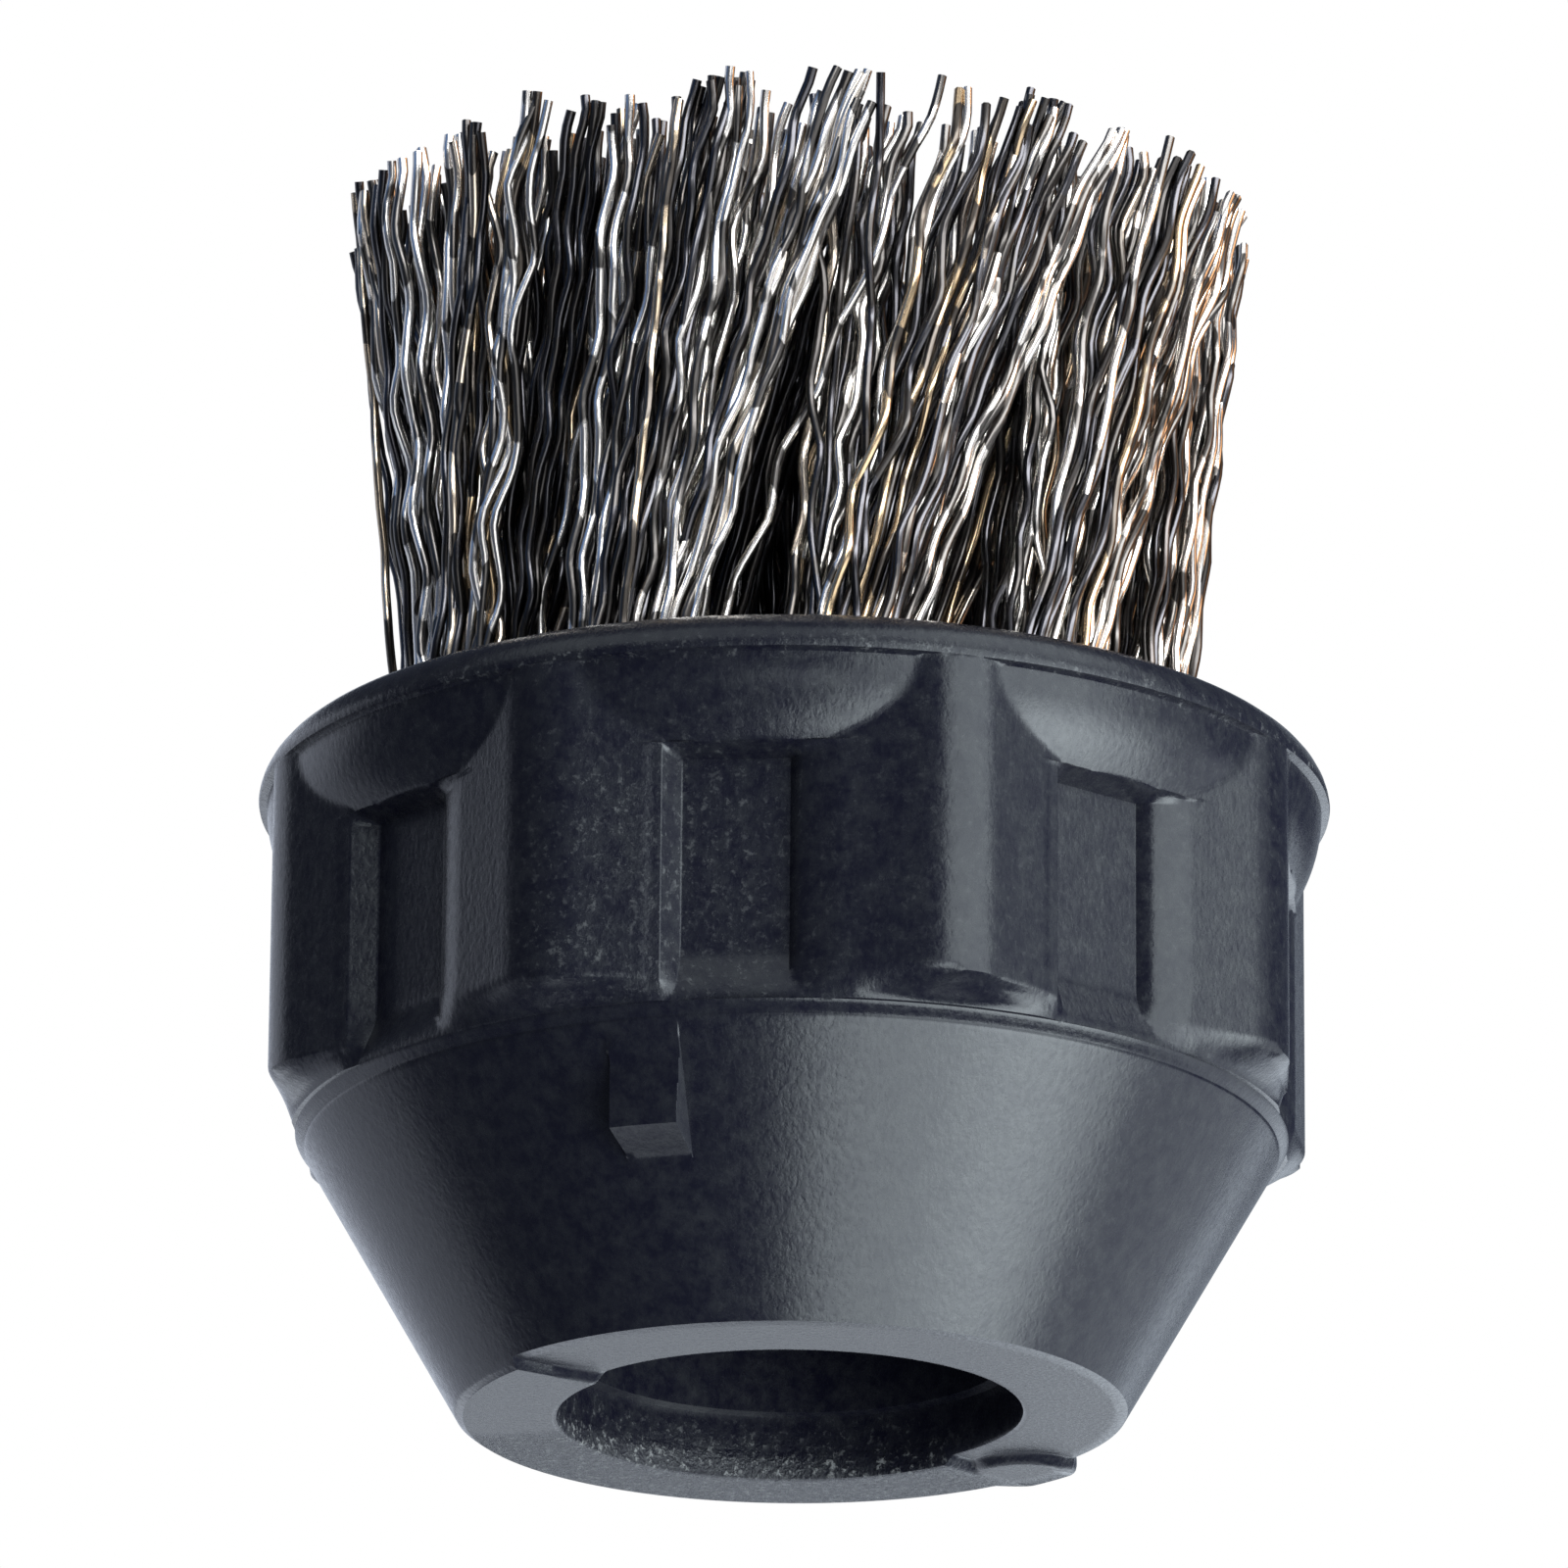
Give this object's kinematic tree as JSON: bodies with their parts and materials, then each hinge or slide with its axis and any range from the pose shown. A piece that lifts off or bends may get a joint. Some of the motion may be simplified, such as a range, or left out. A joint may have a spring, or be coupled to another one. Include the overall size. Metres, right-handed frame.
{
  "type": "wire cup brush head",
  "caption": "Round wire brush head: crimped metal bristles in a black moulded hub with a scalloped grip, tapered nose and open socket, for scrubbing soldering tips.",
  "frame": {"origin": "on the axis, in the plane of the proud half of the socket's ring face, on which the head stands", "axes": "+Z along the axis, from the socket to the bristle tips; -Y is the front, the side with the small index block"},
  "size_m": [0.03, 0.03, 0.0354],
  "materials": {
    "hub_plastic": "black moulded plastic, satin, finely mottled",
    "crimped_wire": "fine crimped wire, bright steel with warm brassy tints, darker olive in the depth",
    "anchor_metal": "plain flat metal strip, hidden in the hub"
  },
  "bodies": {
    "root": {"hub_body": "hub_plastic", "wire_tuft_01": "crimped_wire", "wire_tuft_02": "crimped_wire", "wire_tuft_03": "crimped_wire", "wire_tuft_04": "crimped_wire", "wire_tuft_05": "crimped_wire", "wire_tuft_06": "crimped_wire", "wire_tuft_07": "crimped_wire", "wire_tuft_08": "crimped_wire", "wire_tuft_09": "crimped_wire", "wire_tuft_10": "crimped_wire", "wire_tuft_11": "crimped_wire", "wire_tuft_12": "crimped_wire", "wire_tuft_13": "crimped_wire", "wire_tuft_14": "crimped_wire", "wire_tuft_15": "crimped_wire", "wire_tuft_16": "crimped_wire", "tuft_anchor_01": "anchor_metal", "tuft_anchor_02": "anchor_metal", "tuft_anchor_03": "anchor_metal", "tuft_anchor_04": "anchor_metal", "tuft_anchor_05": "anchor_metal", "tuft_anchor_06": "anchor_metal", "tuft_anchor_07": "anchor_metal", "tuft_anchor_08": "anchor_metal", "tuft_anchor_09": "anchor_metal", "tuft_anchor_10": "anchor_metal", "tuft_anchor_11": "anchor_metal", "tuft_anchor_12": "anchor_metal", "tuft_anchor_13": "anchor_metal", "tuft_anchor_14": "anchor_metal", "tuft_anchor_15": "anchor_metal", "tuft_anchor_16": "anchor_metal"}
  },
  "joints": []
}
